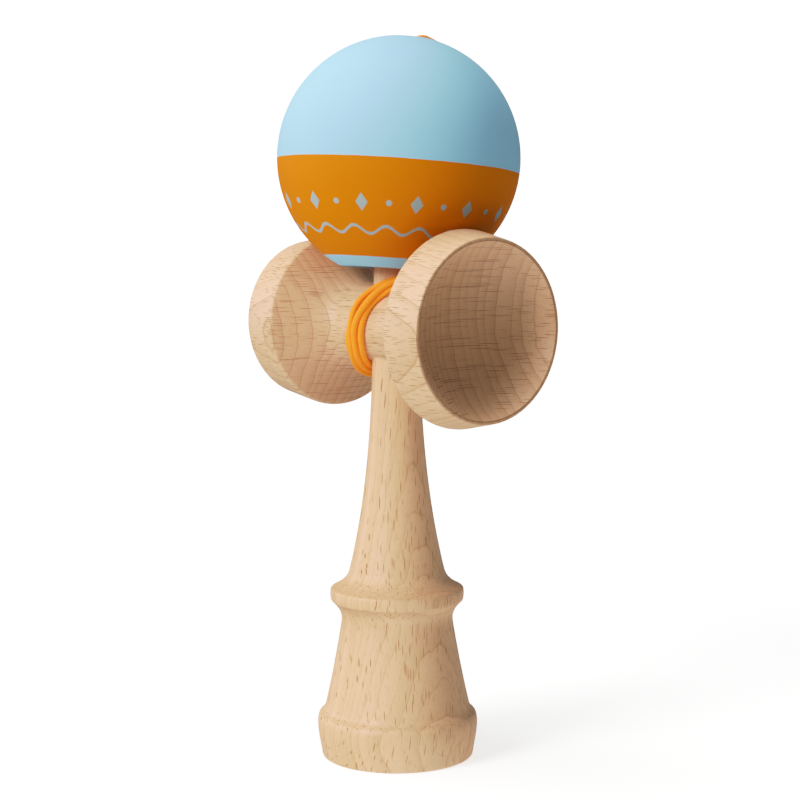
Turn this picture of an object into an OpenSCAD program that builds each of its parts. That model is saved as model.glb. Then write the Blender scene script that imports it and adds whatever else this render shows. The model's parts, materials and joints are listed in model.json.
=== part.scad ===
// Kendama: a turned handle (ken), a cross piece with two cups (sarado), a ball (tama) that sits
// over the handle's spike, and one string that ties the ball to the handle.
// Millimetres. +Z runs up the handle, +X along the cross piece towards its big cup, and the
// origin is the middle of the handle's foot.

/* [Handle] */
// Height of the spike's tip above the foot
ken_length = 163; // [160:0.5:165]
// Diameter of the foot's outer edge
foot_d = 38.8; // [36:0.2:40]
// Round along the foot's outer edge
foot_round = 0.7; // [0.3:0.1:1]
// Diameter of the base ring at its widest
base_d = 41; // [40:0.2:44]
// Height at which the base ring is widest
base_wide_z = 8.6; // [6:0.2:9.5]
// Diameter of the ridge on top of the base ring
base_ridge_d = 39.9; // [39:0.1:40.6]
// Height of the ridge on top of the base ring
base_ridge_z = 11.2; // [10.5:0.1:12]
// Diameter of the cup in the foot
base_cup_d = 34.4; // [30:0.2:35.5]
// Depth of the cup in the foot
base_cup_depth = 9; // [6:0.5:12]
// Diameter of the lower grip where it rises from the base ring
stem_d = 36.9; // [35:0.1:38]
// Height where the lower grip rises from the base ring
stem_z = 13.3; // [12.6:0.1:15]
// Diameter of the lower grip under the collar
waist_d = 28.6; // [26:0.2:31]
// Height of the top of the lower grip
waist_z = 34.6; // [32:0.2:37]
// Diameter of the collar's lower edge
collar_low_d = 33.8; // [32.4:0.2:36]
// Height of the collar's lower edge
collar_low_z = 40.4; // [39:0.2:42]
// Diameter of the collar's upper ridge
collar_d = 34; // [32.4:0.2:36]
// Height of the collar's upper ridge
collar_z = 43.4; // [42.6:0.2:45]
// Diameter of the grip where it rises from the collar
grip_d = 24.2; // [22:0.2:27]
// Height where the grip rises from the collar
grip_z = 48.3; // [46.5:0.2:50]
// Diameter of the handle where it enters the cross piece
seat_d = 12.1; // [11.6:0.1:12.6]
// Diameter of the spike where it leaves the cross piece
spike_d = 11.2; // [10.4:0.1:11.4]
// Diameter of the spike just below its rounded tip
tip_d = 8.6; // [7:0.1:9.6]
// Height of the rounded tip
tip_round = 3; // [2:0.2:4]

/* [Cross piece] */
// Height of the cross piece's axis above the foot
cross_z = 110.7; // [106:0.1:112]
// Diameter of the neck between the cups
neck_d = 20.4; // [19.6:0.2:21.6]
// Length of the straight neck
neck_length = 22; // [21:0.5:23]
// Round along the back edge of both cups
shoulder_round = 1.6; // [1:0.1:2.4]
// Slope of the cups' backs at that edge, in degrees
bell_slope = 54; // [53.5:0.5:58]
// Diameter of the big cup at its back edge
big_shoulder_d = 48.6; // [47.8:0.2:50]
// Distance of that edge from the handle's axis
big_shoulder_x = 26.6; // [26:0.1:28]
// Outer diameter of the big cup's rim
big_rim_d = 45; // [44:0.2:46.4]
// Distance of the big cup's rim from the handle's axis
big_reach = 36; // [34:0.2:38]
// Diameter of the big cup's mouth
big_cup_d = 43.2; // [40:0.2:43.4]
// Depth of the big cup
big_cup_depth = 13; // [11:0.5:15]
// Diameter of the small cup at its back edge
small_shoulder_d = 44.4; // [43.4:0.2:46]
// Distance of that edge from the handle's axis
small_shoulder_x = 24.5; // [24:0.1:26]
// Outer diameter of the small cup's rim
small_rim_d = 41.2; // [40.4:0.2:42.6]
// Distance of the small cup's rim from the handle's axis
small_reach = 36.2; // [34:0.2:38]
// Diameter of the small cup's mouth
small_cup_d = 39.4; // [36:0.2:39.8]
// Depth of the small cup
small_cup_depth = 11.5; // [9:0.5:13.5]
// Round along both rims
rim_round = 0.4; // [0.2:0.1:0.5]

/* [Ball] */
// Diameter of the ball
ball_d = 61; // [60:0.2:63]
// Diameter of the hole that takes the spike
ball_hole_d = 21; // [20:0.2:23]
// Diameter of the bevelled mouth of that hole
mouth_d = 25.6; // [25.2:0.2:27]
// Lean of the ball's axis towards the back, in degrees
ball_lean = 5.2; // [3:0.2:6]
// How far the ball has slid to the back
ball_slide = 0.95; // [0.4:0.05:1.2]
// Angle of the drill point that ends the hole, in degrees
drill_point = 118; // [110:2:130]
// Round at the outer end of the ball's string hole
pole_round = 4; // [3.6:0.2:4.6]

/* [String] */
// Diameter of the string
string_d = 1.65; // [1.4:0.05:1.75]
// Diameter of the string holes
string_hole_d = 3; // [2.6:0.1:3.4]
// Step from one turn of the winding to the next, along the neck
wind_step = 2.65; // [2.6:0.05:2.75]
// Step from one layer of the winding to the next
layer_step = 2.08; // [2.04:0.01:2.16]
// Lead of the winding's slant towards the front, in degrees
wind_lead = 16; // [15:1:17]
// Diameter of the bead that stops the string inside the ball
bead_d = 8; // [7:0.2:9]
// Diameter of the bead's hole
bead_hole_d = 2.4; // [2.2:0.1:2.8]
// Diameter of the knots at both ends of the string
knot_d = 4.4; // [3.6:0.1:4.8]
// Thickness of these knots
knot_h = 2.4; // [2:0.1:2.8]

/* [Clearances] */
// Between the handle's taper and the cross piece
taper_fit = 0.05; // [0.03:0.01:0.1]
// Between the ball and the cups that it sits on
seat_gap = 0.3; // [0.2:0.05:0.5]
// Between the string and the wood that it lies on or passes
string_gap = 0.3; // [0.2:0.05:0.5]
// Between the string and the ball that it lies on
wrap_gap = 0.35; // [0.3:0.05:0.5]
// Between the winding and the handle below the cross piece
wind_gap = 0.6; // [0.5:0.1:1]
// Between the knots or the bead and what they rest against
knot_gap = 0.2; // [0.1:0.05:0.4]
// Between the spike's tip and the knot above it
tip_gap = 0.8; // [0.4:0.1:1.5]

/* [Hidden] */
$fn = 96;
curve_steps = 10;
past = 1;

// Slopes of the handle's outline, as change of radius for each millimetre of height
foot_slope = 0.15;
ridge_slope = -0.6;
base_flare = -1.5;
stem_slope = -0.235;
waist_slope = -0.164;
collar_flare = 1.2;
collar_low_slope = 0.25;
collar_slope = -0.15;
grip_flare = -2.2;
grip_slope = -0.24;
seat_slope = -0.03;
tip_blunt = 0.6;

neck_r = neck_d / 2;
neck_half = neck_length / 2;
ball_r = ball_d / 2;
string_r = string_d / 2;
string_hole_r = string_hole_d / 2;

// The ball rests on the rounded back edges of both cups. Along the cross piece's axis and out
// from it, its centre is as far from the middle of one round as from the other.
seat_reach = ball_r + seat_gap + shoulder_round;
big_round = [big_shoulder_x, big_shoulder_d / 2 - shoulder_round];
small_round = [-small_shoulder_x, small_shoulder_d / 2 - shoulder_round];
between = big_round - small_round;
seat_rise = sqrt(seat_reach * seat_reach - between * between / 4);
seat = (big_round + small_round) / 2 + seat_rise * [-between.y, between.x] / norm(between);
ball_c = [seat.x, ball_slide, cross_z + sqrt(seat.y * seat.y - ball_slide * ball_slide)];
ball_axis = [0, sin(ball_lean), cos(ball_lean)];
ball_back = [0, cos(ball_lean), -sin(ball_lean)];

// Places along the ball's own axis, from its centre
tip_at = ([0, 0, ken_length] - ball_c) * ball_axis;
ball_knot_at = tip_at + tip_gap;
bead_low_at = ball_knot_at + knot_h + knot_gap;
bead_half = sqrt(bead_d * bead_d - bead_hole_d * bead_hole_d) / 2;
bead_at = bead_low_at + bead_half;
hole_point_at = bead_at + (bead_d / 2 + seat_gap) / sin(drill_point / 2);
hole_shoulder_at = hole_point_at - ball_hole_d / 2 / tan(drill_point / 2);
mouth_at = -sqrt(ball_r * ball_r - mouth_d * mouth_d / 4);
bevel_top_at = mouth_at + (mouth_d - ball_hole_d) / 2;
bevel_h = bevel_top_at + ball_r;
pole_r = string_hole_r + pole_round;
pole_reach = ball_r - pole_round;
pole_low_at = sqrt(pole_reach * pole_reach - pole_r * pole_r);
core_top_at = pole_low_at - string_d;
core_top = ball_c + core_top_at * ball_axis;

// Places along the string's hole through the handle, which runs front to back
pocket_floor_y = -seat_d / 2 + knot_h + 2 * knot_gap + string_r;
ken_knot_y = pocket_floor_y - knot_gap;
sink_r = string_hole_r + 2 * string_d;
sink_low_y = neck_r - sink_r + string_hole_r;

// The winding slants across the neck: beside the spike on top, beside the handle below. It goes
// out along the neck for most of two turns, reverses under the handle, and comes back one layer up.
turns = 4;
wind_start = 25 / 360;
wind_end = turns - 26 / 360;
reverse_at = 1.7;
climb = 0.5;
rings_per_turn = 24;
wind_r = neck_r + string_gap + string_r;
handle_side = seat_d / 2 + wind_gap + string_r + reverse_at * wind_step;
wind_reach = handle_side / (cos(wind_lead) + sin(wind_lead));

function ease(u) = let (v = max(0, min(1, u))) v * v * (3 - 2 * v);
function wind_radius(t) = wind_r + layer_step * ease((t - reverse_at) / climb + 0.5);
function wind_shift(t) = wind_step * (reverse_at - abs(t - reverse_at));
function wind_at(t) =
  let (turned = 270 + 360 * t, r = wind_radius(t))
  [
    wind_reach * (cos(turned + wind_lead) - sin(wind_lead)) + wind_shift(t),
    -r * sin(turned),
    cross_z + r * cos(turned)
  ];
function wind_way(t) = unit(wind_at(t + 0.001) - wind_at(t - 0.001));
function wind_loops(per_turn) =
  let (steps = round((wind_end - wind_start) * per_turn))
  [for (i = [0:steps]) wind_at(wind_start + (wind_end - wind_start) * i / steps)];
wind_in = wind_at(wind_start) - string_d * wind_way(wind_start);
wind_out = wind_at(wind_end) + string_d * wind_way(wind_end);
winding_path = concat([wind_in], wind_loops(rings_per_turn), [wind_out]);

// The least gap of the winding to itself, between points more than a third of a turn apart
gap_points = wind_loops(2 * rings_per_turn);
apart = round(2 * rings_per_turn / 3);
winding_gap = min([
  for (i = [0:len(gap_points) - 1], j = [i + apart:1:len(gap_points) - 1])
    norm(gap_points[i] - gap_points[j])
]) - string_d;
echo(winding_gap = winding_gap);

// The lead runs straight through the handle and bends out of the neck into the first turn.
lead_bend = 4;
lead_straight_y = neck_r - lead_bend;
lead_in = [0, ken_knot_y, cross_z];
lead_turn = [0, lead_straight_y, cross_z];
lead_out = wind_in - string_r * wind_way(wind_start);
lead_path = concat(
  [lead_in, lead_turn],
  bezier(lead_turn, lead_turn + [0, lead_bend, 0],
    lead_out - lead_bend * wind_way(wind_start), lead_out, curve_steps),
  [wind_in]
);

// The riser runs straight from the winding to the back of the ball. From there the string lies on
// the ball up to the round of the hole at its pole, and follows that round into the hole.
wrap_r = ball_r + wrap_gap + string_r;
pole_wrap_r = pole_round + wrap_gap + string_r;
pole_round_c = ball_c + pole_r * ball_back + pole_low_at * ball_axis;
function wrap_at(centre, r, turned) = centre + r * (cos(turned) * ball_back + sin(turned) * ball_axis);
riser_in = wind_out + string_d * wind_way(wind_end);
riser_from = riser_in - ball_c;
riser_far = norm([riser_from * ball_back, riser_from * ball_axis]);
touch_turn = atan2(riser_from * ball_axis, riser_from * ball_back) + acos(wrap_r / riser_far);
pole_turn = atan2(pole_low_at, pole_r);
wrap_steps = 20;
touch = wrap_at(ball_c, wrap_r, touch_turn);
riser_way = unit(touch - riser_in);
riser_path = concat(
  [wind_out],
  bezier(wind_out, riser_in, riser_in + string_d * riser_way, riser_in + 2 * string_d * riser_way,
    curve_steps),
  [touch]
);
wrap_path = concat(
  [touch, touch + string_r * riser_way],
  [
    for (i = [1:wrap_steps])
      wrap_at(ball_c, wrap_r, touch_turn + (pole_turn - touch_turn) * i / wrap_steps)
  ],
  [
    for (i = [1:curve_steps])
      wrap_at(pole_round_c, pole_wrap_r, pole_turn + (180 - pole_turn) * i / curve_steps)
  ],
  [core_top + string_r * ball_axis, core_top]
);

function way_length(path) = path_sum([for (i = [1:len(path) - 1]) norm(path[i] - path[i - 1])]);
function path_sum(steps) = [for (s = steps) 1] * steps;
core_length = core_top_at - ball_knot_at - knot_h;
string_length = path_sum([for (path = [lead_path, winding_path, riser_path, wrap_path]) way_length(path)])
  + core_length;
echo(string_length = string_length);

function unit(v) = v / norm(v);
function arc(centre, r, from, to) =
  [
    for (i = [0:curve_steps])
      let (a = from + (to - from) * i / curve_steps)
      centre + r * [cos(a), sin(a)]
  ];
function bezier(p0, p1, p2, p3, steps) =
  [
    for (i = [1:steps])
      let (t = i / steps, u = 1 - t)
      u * u * u * p0 + 3 * u * u * t * p1 + 3 * u * t * t * p2 + t * t * t * p3
  ];
// A turned curve between two [radius, height] points with a slope at each
function turned_curve(p0, slope0, p1, slope1) =
  let (third = (p1.y - p0.y) / 3)
  bezier(p0, p0 + third * [slope0, 1], p1 - third * [slope1, 1], p1, curve_steps);

// The sphere that cuts a cup of a given mouth and depth
function bowl_r(mouth, depth) = (mouth * mouth / 4 + depth * depth) / (2 * depth);

foot = [foot_d / 2, foot_round];
base_wide = [base_d / 2, base_wide_z];
base_ridge = [base_ridge_d / 2, base_ridge_z];
stem = [stem_d / 2, stem_z];
waist = [waist_d / 2, waist_z];
collar_low = [collar_low_d / 2, collar_low_z];
collar = [collar_d / 2, collar_z];
grip = [grip_d / 2, grip_z];
seat_low = [seat_d / 2, cross_z - neck_r];
seat_top = [spike_d / 2, cross_z + neck_r];
tip_low = [tip_d / 2, ken_length - tip_round];

ken_outline = concat(
  [[0, 0]],
  arc([foot.x - foot_round, foot.y], foot_round, -90, 0),
  turned_curve(foot, foot_slope, base_wide, 0),
  turned_curve(base_wide, 0, base_ridge, ridge_slope),
  turned_curve(base_ridge, base_flare, stem, stem_slope),
  turned_curve(stem, stem_slope, waist, waist_slope),
  turned_curve(waist, waist_slope, collar_low, collar_flare),
  turned_curve(collar_low, collar_low_slope, collar, collar_slope),
  turned_curve(collar, grip_flare, grip, grip_slope),
  turned_curve(grip, grip_slope, seat_low, seat_slope),
  [seat_top, tip_low],
  bezier(tip_low, tip_low + [0, tip_round * tip_blunt], [tip_low.x * tip_blunt, ken_length],
    [0, ken_length], curve_steps)
);

// One cup's half of the cross piece, as [radius, distance from the handle's axis], neck to mouth
function cup_outline(shoulder_d, shoulder_x, rim_d, reach) =
  let (
    middle = [shoulder_d / 2 - shoulder_round, shoulder_x],
    back = middle + shoulder_round * [cos(bell_slope), -sin(bell_slope)],
    lip = [rim_d / 2 - rim_round, reach - rim_round],
    to_lip = lip - middle,
    side = atan2(to_lip.y, to_lip.x) - acos((shoulder_round - rim_round) / norm(to_lip))
  )
  concat(
    [[neck_r, neck_half]],
    turned_curve([neck_r, neck_half], 0, back, tan(bell_slope)),
    arc(middle, shoulder_round, -bell_slope, side),
    arc(lip, rim_round, side, 90),
    [[0, reach]]
  );
function mirrored(outline) = [for (i = [len(outline) - 1:-1:0]) [outline[i].x, -outline[i].y]];
sarado_outline = concat(
  mirrored(cup_outline(small_shoulder_d, small_shoulder_x, small_rim_d, small_reach)),
  cup_outline(big_shoulder_d, big_shoulder_x, big_rim_d, big_reach)
);

module string_bore(from, to, r1, r2) {
  translate([0, from, cross_z])
    rotate([-90, 0, 0])
      cylinder(h = to - from, r1 = r1, r2 = r2);
}

module on_ball() {
  translate(ball_c)
    rotate([-ball_lean, 0, 0])
      children();
}

module knot() {
  edge = knot_h / 2;
  rotate_extrude()
    polygon(concat([[0, 0]], arc([knot_d / 2 - edge, edge], edge, -90, 90), [[0, knot_h]]));
}

// A round cord swept along a path, square at both ends
module cord(path, sides) {
  last = len(path) - 1;
  points = [
    for (i = [0:last])
      let (
        way = unit(path[min(i + 1, last)] - path[max(i - 1, 0)]),
        out = unit(cross(way, [1, 0, 0])),
        side = cross(way, out)
      )
      for (k = [0:sides - 1])
        path[i] + string_r * (cos(360 * k / sides) * out + sin(360 * k / sides) * side)
  ];
  skin = [
    for (i = [0:last - 1], k = [0:sides - 1])
      let (a = i * sides + k, b = i * sides + (k + 1) % sides)
      each [[a, b + sides, b], [a, a + sides, b + sides]]
  ];
  top = last * sides;
  caps = [
    for (k = [1:sides - 2])
      each [[0, k, k + 1], [top, top + k + 1, top + k]]
  ];
  polyhedron(points = points, faces = concat(skin, caps));
}

module ken() {
  bowl = bowl_r(base_cup_d, base_cup_depth);
  color("burlywood")
    difference() {
      rotate_extrude()
        polygon(ken_outline);
      translate([0, 0, base_cup_depth - bowl])
        sphere(bowl);
      string_bore(-seat_d, seat_d, string_hole_r, string_hole_r);
      string_bore(-seat_d, pocket_floor_y, knot_d / 2 + knot_gap, knot_d / 2 + knot_gap);
    }
}

module sarado() {
  big_bowl = bowl_r(big_cup_d, big_cup_depth);
  small_bowl = bowl_r(small_cup_d, small_cup_depth);
  bore_slope = (seat_d - spike_d) / 2 / neck_d;
  bore_h = neck_d + 2 * past;
  color("tan")
    difference() {
      translate([0, 0, cross_z])
        rotate([0, 90, 0])
          rotate_extrude()
            polygon(sarado_outline);
      translate([big_reach - big_cup_depth + big_bowl, 0, cross_z])
        sphere(big_bowl);
      translate([small_cup_depth - small_reach - small_bowl, 0, cross_z])
        sphere(small_bowl);
      translate([0, 0, cross_z - bore_h / 2])
        cylinder(
          h = bore_h,
          r1 = seat_d / 2 + bore_slope * past + taper_fit,
          r2 = spike_d / 2 - bore_slope * past + taper_fit
        );
      string_bore(0, neck_r + past, string_hole_r, string_hole_r);
      string_bore(sink_low_y, neck_r + past, string_hole_r, sink_r + past);
    }
}

module tama() {
  color("skyblue")
    on_ball()
      difference() {
        sphere(ball_r);
        translate([0, 0, -ball_r - past])
          cylinder(h = hole_shoulder_at + ball_r + past, d = ball_hole_d);
        translate([0, 0, hole_shoulder_at])
          cylinder(h = hole_point_at - hole_shoulder_at, d1 = ball_hole_d, d2 = 0);
        translate([0, 0, -ball_r])
          cylinder(h = bevel_h, r1 = ball_hole_d / 2 + bevel_h, r2 = ball_hole_d / 2);
        translate([0, 0, hole_shoulder_at])
          cylinder(h = ball_r + past - hole_shoulder_at, d = string_hole_d);
        translate([0, 0, pole_low_at])
          rotate_extrude()
            difference() {
              square([pole_r * ball_r / pole_reach, pole_round + past]);
              translate([pole_r, 0])
                circle(pole_round);
            }
      }
}

module bead() {
  color("white")
    on_ball()
      translate([0, 0, bead_at])
        difference() {
          sphere(d = bead_d);
          cylinder(h = bead_d + past, d = bead_hole_d, center = true);
        }
}

module bead_knot() {
  color("orange")
    on_ball()
      translate([0, 0, ball_knot_at])
        knot();
}

module ken_knot() {
  color("orange")
    translate([0, ken_knot_y, cross_z])
      rotate([90, 0, 0])
        knot();
}

module string_lead() {
  color("orange")
    cord(lead_path, 8);
}

module string_winding() {
  color("orange")
    cord(winding_path, 6);
}

module string_riser() {
  color("orange")
    cord(riser_path, 8);
}

module string_wrap() {
  color("orange")
    cord(wrap_path, 8);
}

module string_core() {
  color("orange")
    on_ball()
      translate([0, 0, core_top_at - core_length])
        cylinder(h = core_length, r = string_r);
}

ken();
sarado();
tama();
bead();
bead_knot();
ken_knot();
string_lead();
string_winding();
string_riser();
string_wrap();
string_core();
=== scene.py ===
import json
import math
import bmesh
import bpy
import numpy as np
from mathutils import Matrix, Quaternion, Vector


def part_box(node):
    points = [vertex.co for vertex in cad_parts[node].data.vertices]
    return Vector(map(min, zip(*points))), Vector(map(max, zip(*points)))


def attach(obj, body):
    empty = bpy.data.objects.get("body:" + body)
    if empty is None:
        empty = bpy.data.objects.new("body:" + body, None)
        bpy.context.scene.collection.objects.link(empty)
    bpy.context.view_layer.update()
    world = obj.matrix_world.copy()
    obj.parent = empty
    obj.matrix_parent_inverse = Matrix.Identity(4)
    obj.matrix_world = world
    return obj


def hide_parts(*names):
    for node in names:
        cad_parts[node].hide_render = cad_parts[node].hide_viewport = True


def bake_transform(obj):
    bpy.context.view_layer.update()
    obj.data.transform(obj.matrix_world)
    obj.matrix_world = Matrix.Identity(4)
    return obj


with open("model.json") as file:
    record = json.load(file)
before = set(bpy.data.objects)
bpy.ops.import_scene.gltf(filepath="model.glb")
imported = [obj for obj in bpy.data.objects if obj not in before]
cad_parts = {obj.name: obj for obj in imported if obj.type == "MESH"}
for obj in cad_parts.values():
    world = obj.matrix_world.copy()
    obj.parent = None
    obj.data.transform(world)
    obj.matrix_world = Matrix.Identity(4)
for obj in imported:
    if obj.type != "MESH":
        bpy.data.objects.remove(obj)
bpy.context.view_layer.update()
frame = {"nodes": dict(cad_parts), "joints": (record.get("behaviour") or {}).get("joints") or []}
scene = bpy.context.scene
mm = 0.001  # sizes below are millimetres, meshes are metres
print("frame loaded, nodes:", len(frame["nodes"]))


def inMillimetres(node):
    low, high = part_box(node)
    return np.array(low) / mm, np.array(high) / mm


# Camera

photoCamera = {
    "place": (0.3867, -0.3054, 0.1425),  # metres
    "heading": 51.59,  # degrees from +Y towards -X
    "down": 5.91,
    "roll": -0.23,
    "lens": 87.95,
    "sensor": 36.0,
    "near": 0.01,
}


def makeCamera(spec):
    heading, down = math.radians(spec["heading"]), math.radians(spec["down"])
    level = math.cos(down)
    ahead = Vector((-math.sin(heading) * level, math.cos(heading) * level, -math.sin(down)))
    data = bpy.data.cameras.new("photoCamera")
    data.lens = spec["lens"]
    data.sensor_width = spec["sensor"]
    data.clip_start = spec["near"]
    camera = bpy.data.objects.new("photoCamera", data)
    camera.location = spec["place"]
    camera.rotation_mode = "QUATERNION"
    roll = Quaternion((0, 0, 1), math.radians(spec["roll"]))
    camera.rotation_quaternion = ahead.to_track_quat("-Z", "Y") @ roll
    scene.collection.objects.link(camera)
    scene.camera = camera


makeCamera(photoCamera)
print("camera placed")


# Node building: a Wire is one socket, Sheet is one tree

class Wire:
    def __init__(self, sheet, socket):
        self.sheet = sheet
        self.socket = socket

    def math(self, operation, *others):
        inputs = dict(enumerate((self,) + others))
        return self.sheet.add("ShaderNodeMath", {"operation": operation}, inputs)["Value"]

    def flipped(self, operation, first):
        return self.sheet.add("ShaderNodeMath", {"operation": operation}, {0: first, 1: self})["Value"]

    def __add__(self, other):
        return self.math("ADD", other)

    def __radd__(self, other):
        return self.math("ADD", other)

    def __sub__(self, other):
        return self.math("SUBTRACT", other)

    def __rsub__(self, other):
        return self.flipped("SUBTRACT", other)

    def __mul__(self, other):
        return self.math("MULTIPLY", other)

    def __rmul__(self, other):
        return self.math("MULTIPLY", other)

    def __truediv__(self, other):
        return self.math("DIVIDE", other)

    def __rtruediv__(self, other):
        return self.flipped("DIVIDE", other)

    def __pow__(self, other):
        return self.math("POWER", other)

    def __abs__(self):
        return self.math("ABSOLUTE")


class Outputs:
    def __init__(self, sheet, node):
        self.sheet = sheet
        self.node = node

    def __getitem__(self, key):
        return Wire(self.sheet, self.node.outputs[key])


class Sheet:
    def __init__(self, tree):
        self.tree = tree

    def add(self, kind, settings=None, inputs=None):
        node = self.tree.nodes.new(kind)
        for key, value in (settings or {}).items():
            setattr(node, key, value)
        for key, value in (inputs or {}).items():
            if isinstance(value, Wire):
                self.tree.links.new(value.socket, node.inputs[key])
            else:
                node.inputs[key].default_value = value
        return Outputs(self, node)

    def fade(self, value, low, high):
        span = {"Value": value, "From Min": low, "From Max": high}
        return self.add("ShaderNodeMapRange", {"interpolation_type": "SMOOTHSTEP"}, span)["Result"]

    def noise(self, vector, scale, detail=2.0, rough=0.5):
        inputs = {"Vector": vector, "Scale": scale, "Detail": detail, "Roughness": rough}
        return self.add("ShaderNodeTexNoise", None, inputs)["Fac"]

    def vector(self, x, y, z):
        return self.add("ShaderNodeCombineXYZ", None, {"X": x, "Y": y, "Z": z})["Vector"]


class Finish(Sheet):
    def __init__(self, name):
        self.material = bpy.data.materials.new(name)
        self.material.use_nodes = True
        super().__init__(self.material.node_tree)
        self.tree.nodes.clear()

    def place(self):
        here = self.add("ShaderNodeTexCoord")["Object"]
        scaled = self.add("ShaderNodeVectorMath", {"operation": "SCALE"}, {0: here, "Scale": 1 / mm})
        return scaled["Vector"]

    def split(self, vector):
        parts = self.add("ShaderNodeSeparateXYZ", None, {0: vector})
        return parts["X"], parts["Y"], parts["Z"]

    def blend(self, factor, first, second, how="MIX"):
        settings = {"data_type": "RGBA", "blend_type": how, "clamp_factor": True}
        colours = {0: factor, 6: first, 7: second}
        return self.add("ShaderNodeMix", settings, colours)[2]

    def bump(self, height, distance, strength=1.0):
        inputs = {"Height": height, "Distance": distance * mm, "Strength": strength}
        return self.add("ShaderNodeBump", None, inputs)["Normal"]

    def close(self, **sockets):
        named = {key.replace("_", " "): value for key, value in sockets.items()}
        surface = self.add("ShaderNodeBsdfPrincipled", None, named)["BSDF"]
        self.add("ShaderNodeOutputMaterial", None, {"Surface": surface})
        return self.material


# Outlines and turned meshes

def bezierCurve(p0, p1, p2, p3, steps):
    t = np.linspace(0, 1, steps + 1)[:, None]
    p0, p1, p2, p3 = (np.array(p, float) for p in (p0, p1, p2, p3))
    return (1 - t) ** 3 * p0 + 3 * (1 - t) ** 2 * t * p1 + 3 * (1 - t) * t ** 2 * p2 + t ** 3 * p3


def turnedCurve(start, startSlope, end, endSlope, steps=60):
    third = (end[1] - start[1]) / 3
    first = (start[0] + third * startSlope, start[1] + third)
    second = (end[0] - third * endSlope, end[1] - third)
    return bezierCurve(start, first, second, end, steps)


def arcPoints(centre, radius, fromDegrees, toDegrees, steps=24):
    turn = np.radians(np.linspace(fromDegrees, toDegrees, steps + 1))
    return np.array(centre) + radius * np.stack([np.cos(turn), np.sin(turn)], 1)


def bowlPoints(mouth, depth, steps=80):
    # a hollow from its rim at height 0 to its floor on the axis
    radius = (mouth * mouth / 4 + depth * depth) / (2 * depth)
    half = math.degrees(math.asin(mouth / 2 / radius))
    return arcPoints((0, radius - depth), radius, half - 90, -90, steps)


def spread(points, step):
    # the same line with points an even step apart
    points = np.asarray(points, float)
    gaps = np.linalg.norm(np.diff(points, axis=0), axis=1)
    points = points[np.concatenate([[True], gaps > 1e-9])]
    along = np.concatenate([[0], np.cumsum(np.linalg.norm(np.diff(points, axis=0), axis=1))])
    marks = np.linspace(0, along[-1], int(round(along[-1] / step)) + 1)
    return np.stack([np.interp(marks, along, column) for column in points.T], 1)


def eased(values, width):
    # a running average that keeps both ends
    reach = int(3 * width)
    weights = np.exp(-0.5 * (np.arange(-reach, reach + 1) / width) ** 2)
    weights /= weights.sum()
    first = 2 * values[:1] - values[reach:0:-1]
    last = 2 * values[-1:] - values[-2:-reach - 2:-1]
    padded = np.concatenate([first, values, last])
    return np.apply_along_axis(lambda column: np.convolve(column, weights, "valid"), 0, padded)


def thinned(points, turnLimit=3.0, stepLimit=1.2):
    # keeps a point where the line has turned or run on enough
    kept = [points[0]]
    heading = None
    for here, ahead in zip(points[1:-1], points[2:]):
        way = math.atan2(*(ahead - here))
        heading = way if heading is None else heading
        swing = abs(math.degrees(math.remainder(way - heading, math.tau)))
        if swing > turnLimit or np.linalg.norm(here - kept[-1]) > stepLimit:
            kept.append(here)
            heading = way
    return np.array(kept + [points[-1]])


def softOutline(stretches, soften):
    fine = 0.08
    return thinned(eased(spread(np.concatenate(stretches), fine), soften / fine))


def meshObject(name, mesh):
    data = bpy.data.meshes.new(name)
    mesh.to_mesh(data)
    mesh.free()
    made = bpy.data.objects.new(name, data)
    scene.collection.objects.link(made)
    return made


def turnedMesh(name, outline, sides, place, closedLoop=False):
    # a lathe: the outline's [radius, height] points go once round the axis
    mesh = bmesh.new()
    turn = [math.tau * k / sides for k in range(sides)]
    rings = []
    for radius, height in outline:
        if radius < 1e-6 and not closedLoop:
            rings.append([mesh.verts.new((0, 0, height))] * sides)
        else:
            circle = [(radius * math.cos(a), radius * math.sin(a), height) for a in turn]
            rings.append([mesh.verts.new(point) for point in circle])
    pairs = list(zip(rings, rings[1:])) + ([(rings[-1], rings[0])] if closedLoop else [])
    for low, high in pairs:
        for k in range(sides):
            corners = [low[k], low[(k + 1) % sides], high[(k + 1) % sides], high[k]]
            mesh.faces.new(list(dict.fromkeys(corners)))
    bmesh.ops.transform(mesh, matrix=Matrix.Scale(mm, 4) @ place, verts=mesh.verts)
    bmesh.ops.recalc_face_normals(mesh, faces=mesh.faces)
    piece = meshObject(name, mesh)
    piece.data.shade_smooth()
    return piece


def applied(piece):
    # the evaluated shape as a plain mesh, with no modifier left
    bpy.context.view_layer.update()
    shape = bpy.data.meshes.new_from_object(piece.evaluated_get(bpy.context.evaluated_depsgraph_get()))
    piece.modifiers.clear()
    if piece.type == "MESH":
        piece.data = shape
        return piece
    solid = bpy.data.objects.new(piece.name, shape)
    bpy.data.objects.remove(piece)
    solid.name = shape.name
    scene.collection.objects.link(solid)
    return solid


def bored(piece, cutter, sharpAngle=40):
    cut = piece.modifiers.new("bore", "BOOLEAN")
    cut.operation = "DIFFERENCE"
    cut.solver = "EXACT"
    cut.object = cutter
    applied(piece)
    bpy.data.objects.remove(cutter)
    piece.data.set_sharp_from_angle(angle=math.radians(sharpAngle))


def painted(piece, finish):
    piece.data.materials.clear()
    piece.data.materials.append(finish)


def dressed(piece, finish, body, slot, *nodes):
    painted(piece, finish)
    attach(piece, body)
    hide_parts(*nodes)


# Places that the pieces share

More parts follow.
